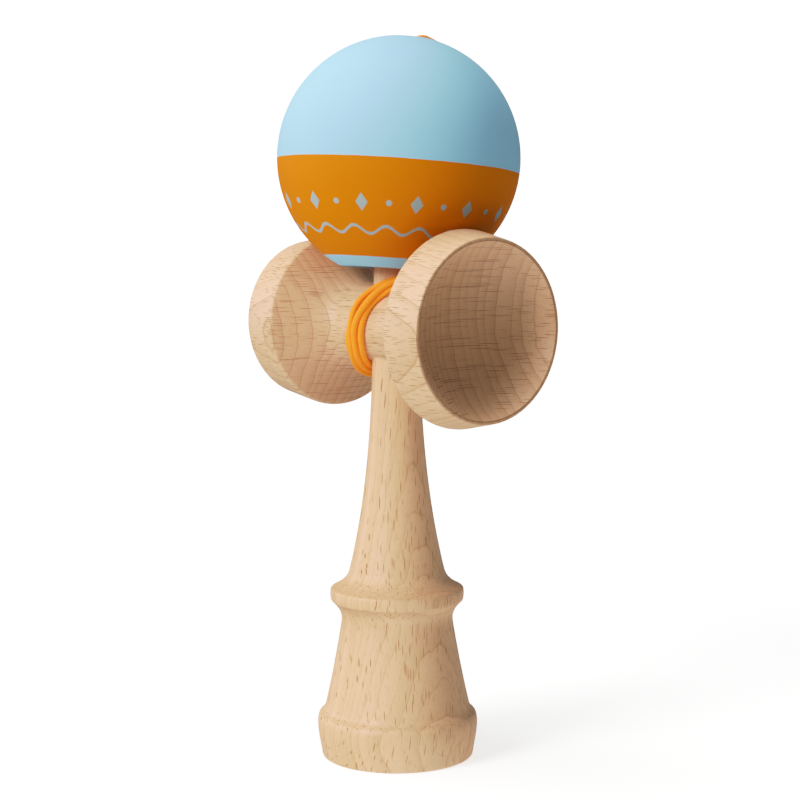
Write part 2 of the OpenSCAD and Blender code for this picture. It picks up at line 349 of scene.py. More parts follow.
spin = next(joint for joint in frame["joints"] if joint["name"] == "tama_spin")
ballCentre = np.array(spin["pos_m"]) / mm
ballAxis = np.array(spin["axis"]) / np.linalg.norm(spin["axis"])
ballBack = np.array((0, ballAxis[2], -ballAxis[1]))
ballLean = math.atan2(ballAxis[1], ballAxis[2])
ballRadius = 30.5
ballPlace = Matrix.Translation(Vector(ballCentre)) @ Matrix.Rotation(-ballLean, 4, "X")
crossHeight = 110.7
crossPlace = Matrix.Translation((0, 0, crossHeight)) @ Matrix.Rotation(math.pi / 2, 4, "Y")
neckRadius = 10.2
stringHole = 1.5  # radius
poleRound = 4.0  # round at the outer end of the ball's string hole
poleRadius = stringHole + poleRound
poleLow = math.sqrt((ballRadius - poleRound) ** 2 - poleRadius ** 2)
poleTurn = math.atan2(poleLow, poleRadius)


# String: one braided cord from the knot in the handle, round the neck and over the ball to the bead

stringSpec = {
    "diameter": 1.65,
    "length": 476.0,
    "neckGap": 0.03,
    "ballGap": 0.06,
    "leaveHole": 25 / 360,  # turns
    "leaveNeck": 26 / 360,
    "bend": 4.0,
    # place along the neck every 30 degrees of each turn, from the back over the top
    "strands": (
        (0.0, 4.5, 8.5, 10.5, 6.5, 2.0, 0.0, -1.5, -5.0, -8.0, -5.0, -2.0),
        (2.0, 3.5, 6.0, 9.0, 4.5, -1.0, -4.5, -7.0, -9.0, -10.5, -7.5, -5.0),
        (-2.0, 2.5, 7.5, 10.0, 6.0, 2.5, -1.5, -3.0, -6.0, -9.0, -5.5, -1.0),
        (4.0, 4.5, 5.0, 8.0, 3.5, -1.5, -2.5, -4.5, -8.5, -10.0, -6.5, -3.5),
    ),
    "press": 0.9,  # crossing strands press into each other a little
    "drawnIn": 0.94,  # a taut string is a little thinner
    "perTurn": 120,  # points
    "easeParts": 36,  # bends between places are eased over one of these parts of a turn
    "liftStep": 0.04,
    "liftEasing": 4,  # points
    "pathStep": 0.4,
    "sides": 32,
    "ringStep": 0.2,
    "yarns": 8,
    "lay": 5.2,
    "relief": 0.09,
    "bright": (1.0, 0.30, 0.016, 1),
    # deep: painted shade, the darker colour laid into the low crevices between the yarns
    "deep": (0.80, 0.16, 0.004, 1),
    # tip: a painted highlight, the paler colour laid on the highest tops of the yarns
    "tip": (1.0, 0.38, 0.04, 1),
    # painted glow: the string emits this orange light though it is no lamp, to brighten it
    "glow": (1.0, 0.26, 0.008, 1),
    "glowStrength": 0.2,
    "fuzz": (9.0, 3.0, 0.6),  # scale, detail and roughness of its noise
    "fuzzRelief": (0.05, 0.6),  # height and strength
    "deepFade": (0.15, 0.75),  # heights of a yarn
    "tipFade": (0.95, 1.4),
    "tipDepth": 0.6,
    "rough": 0.62,
    "gloss": 0.2,
}


def windingPoints(spec):
    perTurn = spec["perTurn"]
    turns = len(spec["strands"])
    turn = np.arange(spec["leaveHole"], turns - spec["leaveNeck"], 1 / perTurn)
    angle = np.radians(270 + 360 * turn)
    places = [*np.ravel(spec["strands"]), 0.0]
    along = np.interp(turn, np.linspace(0, turns, len(places)), places)
    along = eased(along[:, None], perTurn / spec["easeParts"])[:, 0]
    across = np.stack([-np.sin(angle), np.cos(angle)], 1)
    base = neckRadius + spec["neckGap"] + spec["diameter"] / 2
    leastGap = spec["press"] * spec["diameter"]

    def at(i, lift):
        out = across[i] * (base + lift)
        return np.array((along[i], out[0], out[1] + crossHeight))

    # each turn lies on the turns below it
    lifts = []
    laid = []
    for i in range(len(turn)):
        below = np.array(laid[:max(0, i - perTurn // 3)])
        lift = 0.0
        while len(below) and np.linalg.norm(below - at(i, lift), axis=1).min() < leastGap:
            lift += spec["liftStep"]
        lifts.append(lift)
        laid.append(at(i, lift))
    near = spec["liftEasing"]
    highest = [max(lifts[max(0, i - near):i + near + 1]) for i in range(len(lifts))]
    lifts = eased(np.array(highest)[:, None], near)[:, 0]
    return np.array([at(i, lift) for i, lift in enumerate(lifts)])


def unit(v):
    return v / np.linalg.norm(v)


def stringPath(spec):
    thick = spec["diameter"]
    winding = windingPoints(spec)
    wayIn = unit(winding[1] - winding[0])
    wayOut = unit(winding[-1] - winding[-2])
    knotTop = inMillimetres("ken_knot")[1][1]
    leadIn = np.array((0, knotTop, crossHeight))
    leadTurn = np.array((0, neckRadius - spec["bend"], crossHeight))
    lead = bezierCurve(leadTurn, leadTurn + (0, spec["bend"], 0),
                       winding[0] - spec["bend"] * wayIn, winding[0], 24)
    # the riser meets the ball at a tangent
    wrapRadius = ballRadius + spec["ballGap"] + thick / 2
    riserIn = winding[-1] + 2 * thick * wayOut
    start = riserIn - ballCentre
    far = math.hypot(start @ ballBack, start @ ballAxis)
    touchTurn = math.atan2(start @ ballAxis, start @ ballBack) + math.acos(wrapRadius / far)

    def roundPoints(centre, radius, first, last, steps):
        turn = np.linspace(first, last, steps + 1)[:, None]
        return centre + radius * (np.cos(turn) * ballBack + np.sin(turn) * ballAxis)

    wrap = roundPoints(ballCentre, wrapRadius, touchTurn, poleTurn, 60)
    riserWay = unit(wrap[0] - riserIn)
    riser = bezierCurve(winding[-1], riserIn,
                        riserIn + thick * riserWay, riserIn + 3 * thick * riserWay, 24)
    pole = roundPoints(ballCentre + poleRadius * ballBack + poleLow * ballAxis,
                       poleRound + spec["ballGap"] + thick / 2, poleTurn, math.pi, 24)
    coreLow = (inMillimetres("string_core")[0][2] - ballCentre[2]) / ballAxis[2]
    core = np.array([ballCentre + coreLow * ballAxis])
    return np.concatenate([[leadIn], lead, winding[1:], riser[1:], wrap, pole[1:], core])


def braidTree():
    tree = bpy.data.node_groups.new("braidedString", "GeometryNodeTree")
    tree.interface.new_socket(name="Geometry", in_out="INPUT", socket_type="NodeSocketGeometry")
    for name, kind in (("Diameter", "Float"), ("Sides", "Int"), ("Ring Step", "Float"), ("Yarns", "Int"),
                       ("Lay", "Float"), ("Relief", "Float"), ("Finish", "Material")):
        tree.interface.new_socket(name=name, in_out="INPUT", socket_type="NodeSocket" + kind)
    tree.interface.new_socket(name="Geometry", in_out="OUTPUT", socket_type="NodeSocketGeometry")
    sheet = Sheet(tree)

    def stored(shape, name, value):
        return sheet.add("GeometryNodeStoreNamedAttribute", {"data_type": "FLOAT", "domain": "POINT"},
                         {"Geometry": shape, "Name": name, "Value": value})["Geometry"]

    given = sheet.add("NodeGroupInput")
    line = sheet.add("GeometryNodeResampleCurve", {"mode": "LENGTH"},
                     {"Curve": given["Geometry"], "Length": given["Ring Step"]})["Curve"]
    distance = sheet.add("GeometryNodeSplineParameter")["Length"]
    line = stored(line, "along", distance)
    ring = sheet.add("GeometryNodeCurvePrimitiveCircle", {"mode": "RADIUS"},
                     {"Resolution": given["Sides"], "Radius": given["Diameter"] * 0.5})["Curve"]
    part = sheet.add("GeometryNodeSplineParameter")["Factor"]
    ring = stored(ring, "around", part)
    tube = sheet.add("GeometryNodeCurveToMesh", None,
                     {"Curve": line, "Profile Curve": ring, "Fill Caps": True})["Mesh"]
    named = {"data_type": "FLOAT"}
    along = sheet.add("GeometryNodeInputNamedAttribute", named, {"Name": "along"})["Attribute"]
    around = sheet.add("GeometryNodeInputNamedAttribute", named, {"Name": "around"})["Attribute"]
    # two families of yarns cross over and under in a chequer
    right = (around - along / given["Lay"]) * given["Yarns"]
    left = (around + along / given["Lay"]) * given["Yarns"]
    chequer = (right.math("FLOOR") + left.math("FLOOR")).math("FLOORED_MODULO", 2.0)
    rightRidge = (right.math("FRACT") * math.pi).math("SINE")
    leftRidge = (left.math("FRACT") * math.pi).math("SINE")
    over = (rightRidge * leftRidge).math("SQRT")
    height = over * (chequer * (rightRidge - leftRidge) + leftRidge).math("SQRT")
    level = 0.7  # a yarn of this height keeps the tube's diameter
    normal = sheet.add("GeometryNodeInputNormal")["Normal"]
    push = sheet.add("ShaderNodeVectorMath", {"operation": "SCALE"},
                     {0: normal, "Scale": (height - level) * given["Relief"]})["Vector"]
    tube = sheet.add("GeometryNodeSetPosition", None, {"Geometry": tube, "Offset": push})["Geometry"]
    tube = stored(tube, "yarn", height)
    tube = sheet.add("GeometryNodeSetShadeSmooth", None, {"Geometry": tube})["Geometry"]
    tube = sheet.add("GeometryNodeRealizeInstances", None, {"Geometry": tube})["Geometry"]
    tube = sheet.add("GeometryNodeSetMaterial", None,
                     {"Geometry": tube, "Material": given["Finish"]})["Geometry"]
    sheet.add("NodeGroupOutput", None, {"Geometry": tube})
    return tree


def stringFinish(spec):
    finish = Finish("stringBraid")
    yarn = finish.add("ShaderNodeAttribute", {"attribute_name": "yarn"})["Fac"]
    fuzz = finish.noise(finish.place(), *spec["fuzz"])
    # painted highlight: the highest yarn tops, broken up by the fuzz noise, get the paler tip colour
    tip = finish.fade(yarn + fuzz * 0.5, *spec["tipFade"]) * spec["tipDepth"]
    # painted shade: the low crevices between the yarns get the darker deep colour
    colour = finish.blend(finish.fade(yarn, *spec["deepFade"]), spec["deep"], spec["bright"])
    colour = finish.blend(tip, colour, spec["tip"])
    # the emission is a painted glow that brightens the whole string
    return finish.close(Base_Color=colour, Roughness=spec["rough"] + fuzz * 0.2,
                        Specular_IOR_Level=spec["gloss"], Normal=finish.bump(fuzz, *spec["fuzzRelief"]),
                        Emission_Color=spec["glow"], Emission_Strength=spec["glowStrength"])


def braidedTube(name, path, spec):
    data = bpy.data.curves.new(name, "CURVE")
    data.dimensions = "3D"
    spline = data.splines.new("POLY")
    spline.points.add(len(path) - 1)
    for point, place in zip(spline.points, path):
        point.co = (*(np.asarray(place) * mm), 1)
    line = bpy.data.objects.new(name, data)
    scene.collection.objects.link(line)
    wrap = line.modifiers.new("braid", "NODES")
    wrap.node_group = braidTree()
    values = {"Diameter": spec["diameter"] * spec["drawnIn"] * mm, "Sides": spec["sides"],
              "Ring Step": spec["ringStep"] * mm, "Yarns": spec["yarns"], "Lay": spec["lay"] * mm,
              "Relief": spec["relief"] * mm, "Finish": stringFinish(spec)}
    for item in wrap.node_group.interface.items_tree:
        if item.in_out == "INPUT" and item.name in values:
            wrap[item.identifier] = values[item.name]
    return applied(line)


def makeString(spec):
    path = spread(stringPath(spec), spec["pathStep"])
    string = braidedTube("string", path, spec)
    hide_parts("string_lead", "string_winding", "string_riser", "string_wrap", "string_core")
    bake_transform(string)
    print("string made, path length", round(np.linalg.norm(np.diff(path, axis=0), axis=1).sum(), 1))


makeString(stringSpec)


# Wood: growth rings as wide arcs about a far pith, ray flecks, fibres along the grain

beech = {
    # sizes along the grain, from the pith outwards, and across
    "slow": (55, 16, 16),
    "ripple": (9, 5, 3),
    "fibre": (14, 0.42, 0.42),
    "pore": (2.5, 0.3, 0.3),
    "uneven": (7, 1.6),  # depth over which ring widths change, and by how many rings
    # parts of a ring over which its late wood and its dark edge rise and fall
    "lateParts": ((0.25, 0.93), (0.93, 1.0)),
    "edgeParts": ((0.87, 0.95), (0.96, 1.0)),
    "rayLong": 0.37,
    "rayFade": (0.35, 1.0),
    "patch": 0.05,  # scale of the patches with more rays
    "poreFade": (0.58, 0.72),
    "endFade": (0.35, 0.95),
    # a thin darker line round the inner edge of each cup's rim: how far it reaches and how dark it is
    "rimWear": (0.05, 0.3),  # distances from a rim
    "rimDepth": 0.8,
    "shade": 0.18,
    "shadeOf": {"fibre": 0.4, "slow": 0.4, "pore": 0.35},
    "heightOf": {"fibre": 0.5, "ray": 0.35, "pore": 0.4},
    "relief": (0.06, 0.5),  # height and strength
    "rough": 0.43,
    "roughOf": {"fibre": 0.14, "end": 0.12},
    "gloss": 0.42,
}


def woodFinish(name, spec):
    finish = Finish(name)
    place = finish.place()
    x, y, z = finish.split(place)
    along, radial, across = spec["axes"](x, y, z)

    def grain(kind, *settings):
        long, deep, wide = beech[kind]
        return finish.noise(finish.vector(along / long, radial / deep, across / wide), 1.0, *settings)

    slow = grain("slow", 2.0)
    ripple = grain("ripple", 2.0)
    out = radial + spec["pith"]
    depth = (out * out + across * across).math("SQRT") - spec["pith"]
    depth = depth + (slow - 0.5) * spec["drift"] + (ripple - 0.5) * spec["ripple"]
    unevenDeep, unevenRings = beech["uneven"]
    uneven = finish.noise(finish.vector(depth / unevenDeep, 3.1, spec["seed"]), 1.0, 1.0)
    ring = depth / spec["ring"] + (uneven - 0.5) * unevenRings
    each = finish.add("ShaderNodeTexWhiteNoise", {"noise_dimensions": "1D"},
                      {"W": ring.math("FLOOR") + spec["seed"]})["Value"]
    part = ring.math("FRACT")
    late, edge = (finish.fade(part, *rise) * (1 - finish.fade(part, *fall))
                  for rise, fall in (beech["lateParts"], beech["edgeParts"]))

    # rays: thin spindles that stand across the rings and run along the grain
    leaning = across + along * spec["rayLean"]
    cell = finish.vector(leaning / spec["rayAcross"], along / spec["rayAlong"], depth / spec["rayDeep"])
    spots = finish.add("ShaderNodeTexVoronoi", {"feature": "F1"},
                       {"Vector": cell, "Scale": 1.0, "Randomness": 1.0})
    off = finish.add("ShaderNodeVectorMath", {"operation": "SUBTRACT"}, {0: cell, 1: spots["Position"]})
    dx, dy, dz = finish.split(off["Vector"])
    far = ((dx / spec["rayWide"]) ** 2 + (dy / beech["rayLong"]) ** 2
           + (dz / spec["rayTall"]) ** 2)
    chance = finish.split(spots["Color"])[0]
    ray = (1 - finish.fade(far, *beech["rayFade"])) * finish.fade(chance, *spec["rayChance"])
    patch = finish.noise(place, beech["patch"], 1.0)
    face = finish.split(finish.add("ShaderNodeTexCoord")["Normal"])
    flat = finish.fade(abs(face[spec["rayAxis"]]), *spec["rayFlat"])
    ray = ray * finish.fade(patch, *spec["rayPatch"]) * (1 - flat)

    fibre = grain("fibre", 3.0, 0.6)
    pore = finish.fade(grain("pore", 1.0), *beech["poreFade"])
    endGrain = finish.fade(abs(face[spec["endAxis"]]), *beech["endFade"])

    shadeOf, heightOf, roughOf = beech["shadeOf"], beech["heightOf"], beech["roughOf"]
    shade = (late * (0.5 + each) * spec["late"] + (each - 0.5) * spec["step"] + edge * spec["edge"]
             + (fibre - 0.5) * shadeOf["fibre"] + (slow - 0.5) * shadeOf["slow"] + pore * shadeOf["pore"])
    colour = finish.blend(shade + beech["shade"], spec["pale"], spec["deep"])
    colour = finish.blend(endGrain * spec["endDepth"], colour, spec["end"], "MULTIPLY")
    colour = finish.blend(ray * spec["rayDepth"], colour, spec["ray"])
    # a thin darker line round the inner edge of each cup's rim
    for height, radius in spec["rims"]:
        reach = along - height
        out = (y * y + (z - crossHeight) * (z - crossHeight)).math("SQRT") - radius
        rimLine = 1 - finish.fade((reach * reach + out * out).math("SQRT"), *beech["rimWear"])
        colour = finish.blend(rimLine * beech["rimDepth"], colour, spec["ray"])
    relief = fibre * heightOf["fibre"] - ray * heightOf["ray"] - pore * heightOf["pore"]
    rough = beech["rough"] + fibre * roughOf["fibre"] + endGrain * roughOf["end"]
    return finish.close(Base_Color=colour, Roughness=rough, Specular_IOR_Level=beech["gloss"],
                        Normal=finish.bump(relief, *beech["relief"]))


# Ken: the handle

kenSpec = {
    "length": 163.0,
    "foot": (19.4, 0.7),  # radius, height
    "footRound": 0.7,
    "baseWide": (20.5, 8.6),
    "baseRidge": (19.95, 11.2),
    "stem": (18.45, 13.3),
    "waist": (14.3, 34.6),
    "collarLow": (16.9, 40.4),
    "collar": (17.0, 43.4),
    "grip": (12.1, 48.3),
    "seat": (6.05, 5.6),  # radii where the cross piece starts and ends
    "tip": (4.3, 3.0),  # radius under the rounded tip, and its height
    "blunt": 0.6,
    # the turned line upwards: from, slope there, to, slope there
    "line": (
        ("foot", 0.15, "baseWide", 0),
        ("baseWide", 0, "baseRidge", -0.6),
        ("baseRidge", -1.5, "stem", -0.235),
        ("stem", -0.235, "waist", -0.164),
        ("waist", -0.164, "collarLow", 1.2),
        ("collarLow", 0.25, "collar", -0.15),
        ("collar", -2.2, "grip", -0.24),
        ("grip", -0.24, "seatLow", -0.03),
    ),
    "cup": (34.4, 9.0),  # mouth and depth
    "soften": 0.22,
    "sides": 160,
}

kenWood = {
    # along the grain, from the pith outwards, and across
    "axes": lambda x, y, z: (z, x * 0.996 - y * 0.093, y + x * 0.093),
    "pith": 85.0,
    "ring": 1.55,
    "drift": 5.0,
    "ripple": 0.7,
    "seed": 4.0,
    "rayAcross": 0.65,
    "rayAlong": 7.0,
    "rayDeep": 1.1,
    "rayWide": 0.17,
    "rayTall": 0.36,
    "rayLean": -0.09,
    "rayDepth": 0.95,
    "late": 0.1,
    "step": 0.22,
    "edge": 0.3,
    "rims": (),
    "rayPatch": (0.1, 0.4),
    "rayChance": (0.0, 0.45),
    "rayAxis": 1,
    "rayFlat": (0.97, 1.0),  # a ray that lies flat in the face doesn't show
    "endAxis": 2,
    "endDepth": 0.4,
    "pale": (0.81, 0.462, 0.25, 1),
    "deep": (0.50, 0.25, 0.115, 1),
    "ray": (0.33, 0.12, 0.03, 1),
    "end": (0.60, 0.53, 0.48, 1),
}


def makeKen(spec):
    mouth, depth = spec["cup"]
    footRadius, footHeight = spec["foot"]
    places = {**spec, "seatLow": (spec["seat"][0], crossHeight - neckRadius)}
    line = [turnedCurve(places[start], startSlope, places[end], endSlope)
            for start, startSlope, end, endSlope in spec["line"]]
    seatTop = (spec["seat"][1], crossHeight + neckRadius)
    tipRadius, tipHeight = spec["tip"]
    tipLow = (tipRadius, spec["length"] - tipHeight)
    top = (0, spec["length"])
    outline = softOutline([
        bowlPoints(mouth, depth)[::-1] * (1, -1),
        arcPoints((footRadius - spec["footRound"], footHeight), spec["footRound"], -90, 0),
        *line,
        [seatTop],
        bezierCurve(tipLow, (tipRadius, tipLow[1] + tipHeight * spec["blunt"]),
                    (tipRadius * spec["blunt"], spec["length"]), top, 40),
    ], spec["soften"])
    outline[0, 0] = outline[-1, 0] = 0
    ken = turnedMesh("ken_turned", outline, spec["sides"], Matrix.Identity(4))
    dressed(ken, woodFinish("kenBeech", kenWood), "handle", "ken_wood", "ken")
    print("ken made, faces", len(ken.data.polygons))


makeKen(kenSpec)


# Sarado: the cross piece with its two cups

saradoSpec = {
    "neckHalf": 11.0,
    "big": {"shoulder": (24.3, 26.6), "rim": 22.5, "reach": 36.0, "cup": (43.2, 13.0)},
    "small": {"shoulder": (22.2, 24.5), "rim": 20.6, "reach": 36.2, "cup": (39.4, 11.5)},
    "shoulderRound": 1.6,
    "rimRound": 0.4,
    "bellSlope": 54.0,
    "soften": 0.1,
    "sides": 192,
    "sinkMouth": 4.8,  # radius of the string hole's mouth
    "sinkArc": (180, 110),  # degrees of its flare
    "sinkPast": 2.0,  # how far the cut runs on outside the neck
    "sinkSides": 64,
}

saradoWood = {
    "axes": lambda x, y, z: (x, y + 0.9, z - crossHeight + 9),
    "pith": 100.0,
    "ring": 2.6,
    "drift": 3.4,
    "ripple": 0.7,
    "seed": 11.0,
    "rayAcross": 0.5,
    "rayAlong": 4.4,
    "rayDeep": 20.0,
    "rayWide": 0.18,
    "rayTall": 0.5,
    "rayLean": 0.03,
    "rayDepth": 0.95,
    "late": 0.2,
    "step": 0.06,
    "edge": 0.5,
    # place along the piece, and radius
    "rims": tuple((way * saradoSpec[cup]["reach"], saradoSpec[cup]["cup"][0] / 2)
                  for cup, way in (("big", 1), ("small", -1))),
    "rayPatch": (0.1, 0.45),
    "rayChance": (0.0, 0.45),
    "rayAxis": 2,
    "rayFlat": (0.75, 0.93),
    "endAxis": 0,
    "endDepth": 0.7,
    "pale": (0.78, 0.457, 0.26, 1),
    "deep": (0.50, 0.25, 0.12, 1),
    "ray": (0.26, 0.10, 0.035, 1),
    "end": (0.70, 0.60, 0.50, 1),
}


def cupOutline(spec, cup):
    # from the neck out to the rim, then down into the cup's floor
    neck = (neckRadius, spec["neckHalf"])
    slope = math.radians(spec["bellSlope"])
    middle = np.array((cup["shoulder"][0] - spec["shoulderRound"], cup["shoulder"][1]))
    back = middle + spec["shoulderRound"] * np.array((math.cos(slope), -math.sin(slope)))
    lip = np.array((cup["rim"] - spec["rimRound"], cup["reach"] - spec["rimRound"]))
    toLip = lip - middle
    side = math.atan2(toLip[1], toLip[0])
    side -= math.acos((spec["shoulderRound"] - spec["rimRound"]) / np.linalg.norm(toLip))
    side = math.degrees(side)
    return np.concatenate([
        turnedCurve(neck, 0, back, math.tan(slope), 80),
        arcPoints(middle, spec["shoulderRound"], -spec["bellSlope"], side),
        arcPoints(lip, spec["rimRound"], side, 90),
        bowlPoints(*cup["cup"], 120) + (0, cup["reach"]),
    ])


def makeSarado(spec):
    small = cupOutline(spec, spec["small"])[::-1] * (1, -1)
    outline = softOutline([small, cupOutline(spec, spec["big"])], spec["soften"])
    outline[0, 0] = outline[-1, 0] = 0
    sarado = turnedMesh("sarado_turned", outline, spec["sides"], crossPlace)
    # the string's hole, which opens towards its mouth in the neck's back
    mouth = spec["sinkMouth"]
    end = neckRadius + spec["sinkPast"]
    flareRound = mouth - stringHole
    flare = arcPoints((mouth, neckRadius - mouth + stringHole), flareRound, *spec["sinkArc"], 12)
    sink = np.concatenate([[(0, 0), (stringHole, 0)], flare, [(mouth + spec["sinkPast"], end), (0, end)]])
    back = Matrix.Translation((0, 0, crossHeight)) @ Matrix.Rotation(-math.pi / 2, 4, "X")
    bored(sarado, turnedMesh("stringSink", sink, spec["sinkSides"], back))
    dressed(sarado, woodFinish("saradoBeech", saradoWood), "handle", "sarado_wood", "sarado")
    print("sarado made, faces", len(sarado.data.polygons))


makeSarado(saradoSpec)


# Tama: the painted ball

tamaSpec = {
    "hole": 10.5,  # radius
    "mouth": 12.8,
    "shoulderAt": 16.57,  # along the ball's axis from its centre
    "pointAt": 22.88,
    "soften": 0.12,
    "sides": 192,
}

paintSpec = {
    "blue": (0.285, 0.57, 0.77, 1),
    "orange": (0.66, 0.158, 0.0, 1),
    "print": (0.24, 0.40, 0.42, 1),
    "wood": (0.60, 0.42, 0.27, 1),
    "woodDeep": (0.40, 0.25, 0.14, 1),
    "cloud": (0.86, 0.86, 0.86, 1),
    "speck": (0.7, 0.68, 0.66, 1),
    "slowWander": (0.35, 2.0, 0.5),  # scale, detail and swing
    "fastWander": (2.2, 2.0, 0.22),
    "clouds": (0.09, 3.0),  # scale and detail, and for the specks roughness
    "specks": (3.5, 2.0, 0.6),
    "peel": (1.6, 2.0),
    "streak": (0.5, 0.5, 12),  # sizes in the bare wood
    "cloudDepth": 0.35,
    "speckFade": (0.66, 0.8),
    "speckDepth": 0.2,
    "printCover": 0.86,
    "heightOf": {"peel": 0.5, "print": 0.6, "band": 0.4},
    "relief": (0.05, 0.35),  # height and strength
    "rough": 0.62,
    "gloss": 0.05,
    "edge": 0.07,  # half width of a painted edge
    "edgeWander": 0.35,
    "coat": (0.75, 0.45),  # depths at which the paint has ended and is whole
    "bandTop": -3.8,  # bands, wave and row are latitudes in degrees
    "bandLow": -55.8,
    "waveMiddle": -38.65,
    "waveSwing": 2.2,
    "waves": 19,
    "waveLine": 0.9,
    "rowMiddle": -24.7,
    "rowCount": 13,
    "lozenge": (1.55, 2.35),  # half width and half height
    "lozengeEdge": (0.93, 1.05),  # parts of its size
    "dot": 0.75,
}


def paintFinish(spec):
    finish = Finish("tamaPaint")
    settings = {"vector_type": "TEXTURE"}
    turned = {"Vector": finish.place(), "Location": tuple(ballCentre), "Rotation": (-ballLean, 0, 0)}
    place = finish.add("ShaderNodeMapping", settings, turned)["Vector"]
    x, y, z = finish.split(place)
    far = finish.add("ShaderNodeVectorMath", {"operation": "LENGTH"}, {0: place})["Value"]

    def waver(scale, detail, swing):
        return (finish.noise(place, scale, detail) - 0.5) * swing

    wander = waver(*spec["slowWander"]) + waver(*spec["fastWander"])
    latitude = (z / far).math("ARCSINE") * (180 / math.pi)
    height = latitude * (ballRadius * math.pi / 180) + wander * spec["edgeWander"]
    turn = y.math("ARCTAN2", x) / math.tau + 0.5

    def mark(degrees):
        return math.radians(degrees) * ballRadius

    edge = spec["edge"]
    top = finish.fade(height, mark(spec["bandTop"]) + edge, mark(spec["bandTop"]) - edge)
    low = finish.fade(height, mark(spec["bandLow"]) - edge, mark(spec["bandLow"]) + edge)
    band = top * low
    swing = (turn * (math.tau * spec["waves"])).math("SINE") * mark(spec["waveSwing"])
    fromWave = abs(height - mark(spec["waveMiddle"]) - swing)
    wave = 1 - finish.fade(fromWave, spec["waveLine"] / 2 - edge, spec["waveLine"] / 2 + edge)
    # a row of plain lozenges with a dot between each two
    pitch = math.tau * ballRadius * math.cos(math.radians(spec["rowMiddle"])) / spec["rowCount"]
    beside = ((turn * spec["rowCount"]).math("FRACT") - 0.5) * pitch
    above = height - mark(spec["rowMiddle"])
    wide, tall = spec["lozenge"]
    lozenge = 1 - finish.fade(abs(beside) / wide + abs(above) / tall, *spec["lozengeEdge"])
    toDot = abs(beside) - pitch / 2
    fromDot = (toDot * toDot + above * above).math("SQRT")
    dot = 1 - finish.fade(fromDot, spec["dot"] - edge, spec["dot"] + edge)
    printed = wave.math("MAXIMUM", lozenge).math("MAXIMUM", dot)

    cloud, speck, peel = (finish.noise(place, *spec[kind]) for kind in ("clouds", "specks", "peel"))
    specks = finish.fade(speck, *spec["speckFade"])
    cover = spec["printCover"] + (speck - 0.5) * 0.5
    colour = finish.blend(band, spec["blue"], spec["orange"])
    colour = finish.blend(printed * band * cover, colour, spec["print"])
    colour = finish.blend(cloud * spec["cloudDepth"], colour, spec["cloud"], "MULTIPLY")
    colour = finish.blend(specks * spec["speckDepth"], colour, spec["speck"], "MULTIPLY")
    # bare wood inside the hole
    streakX, streakY, streakZ = spec["streak"]
    streak = finish.noise(finish.vector(x / streakX, y / streakY, z / streakZ), 1.0, 3.0)
    bare = finish.blend(streak, spec["woodDeep"], spec["wood"])
    coated = finish.fade(far + wander * 0.5, *(ballRadius - depth for depth in spec["coat"]))
    colour = finish.blend(coated, bare, colour)
    heightOf = spec["heightOf"]
    relief = peel * heightOf["peel"] + printed * band * heightOf["print"] + band * heightOf["band"]
    rough = spec["rough"] + cloud * 0.12 + (speck - 0.5) * 0.1
    return finish.close(Base_Color=colour, Roughness=rough, Specular_IOR_Level=spec["gloss"],
                        Normal=finish.bump(relief, *spec["relief"]))


def makeTama(spec):
    mouthTurn = -math.degrees(math.acos(spec["mouth"] / ballRadius))
    bevelTop = ballRadius * math.sin(math.radians(mouthTurn)) + spec["mouth"] - spec["hole"]
    poleDegrees = math.degrees(poleTurn)
    coneSlope = spec["hole"] / (spec["pointAt"] - spec["shoulderAt"])
    coneTop = spec["pointAt"] - stringHole / coneSlope
    loop = np.concatenate([
        [(stringHole, coneTop)],
        arcPoints((poleRadius, poleLow), poleRound, 180, poleDegrees),
        arcPoints((0, 0), ballRadius, poleDegrees, mouthTurn, 240),
        [(spec["hole"], bevelTop), (spec["hole"], spec["shoulderAt"]), (stringHole, coneTop)],
    ])
    outline = softOutline([loop], spec["soften"])[:-1]
    tama = turnedMesh("tama_painted", outline, spec["sides"], ballPlace, True)
    dressed(tama, paintFinish(paintSpec), "ball", "tama_paint", "tama")
    print("tama made, faces", len(tama.data.polygons))


makeTama(tamaSpec)


# Bead and knots inside

insideSpec = {
    "bead": ((0.80, 0.78, 0.72, 1), (0.62, 0.60, 0.54, 1)),
    "knot": ((0.55, 0.10, 0.004, 1), (0.95, 0.30, 0.015, 1)),
}


def beadFinish(spec):
    finish = Finish("beadPlastic")
    place = finish.place()
    cloud = finish.noise(place, 0.6, 3.0)
    scuff = finish.noise(place, 4.0, 2.0)
    return finish.close(Base_Color=finish.blend(cloud * 0.5, *spec["bead"]), Roughness=0.3 + scuff * 0.2,
                        Normal=finish.bump(scuff, 0.02, 0.4))


def knotFinish(spec):
    finish = Finish("knotYarn")
    twist = finish.noise(finish.place(), 2.4, 3.0, 0.6)
    colour = finish.blend(finish.fade(twist, 0.3, 0.65), *spec["knot"])
    return finish.close(Base_Color=colour, Roughness=0.6 + twist * 0.2, Normal=finish.bump(twist, 0.25))


def dressInside(spec):
    painted(frame["nodes"]["bead"], beadFinish(spec))
    yarn = knotFinish(spec)
    for name in ("ken_knot", "bead_knot"):
        painted(frame["nodes"][name], yarn)
    print("bead and knots dressed")


dressInside(insideSpec)


# Floor, backdrop and light

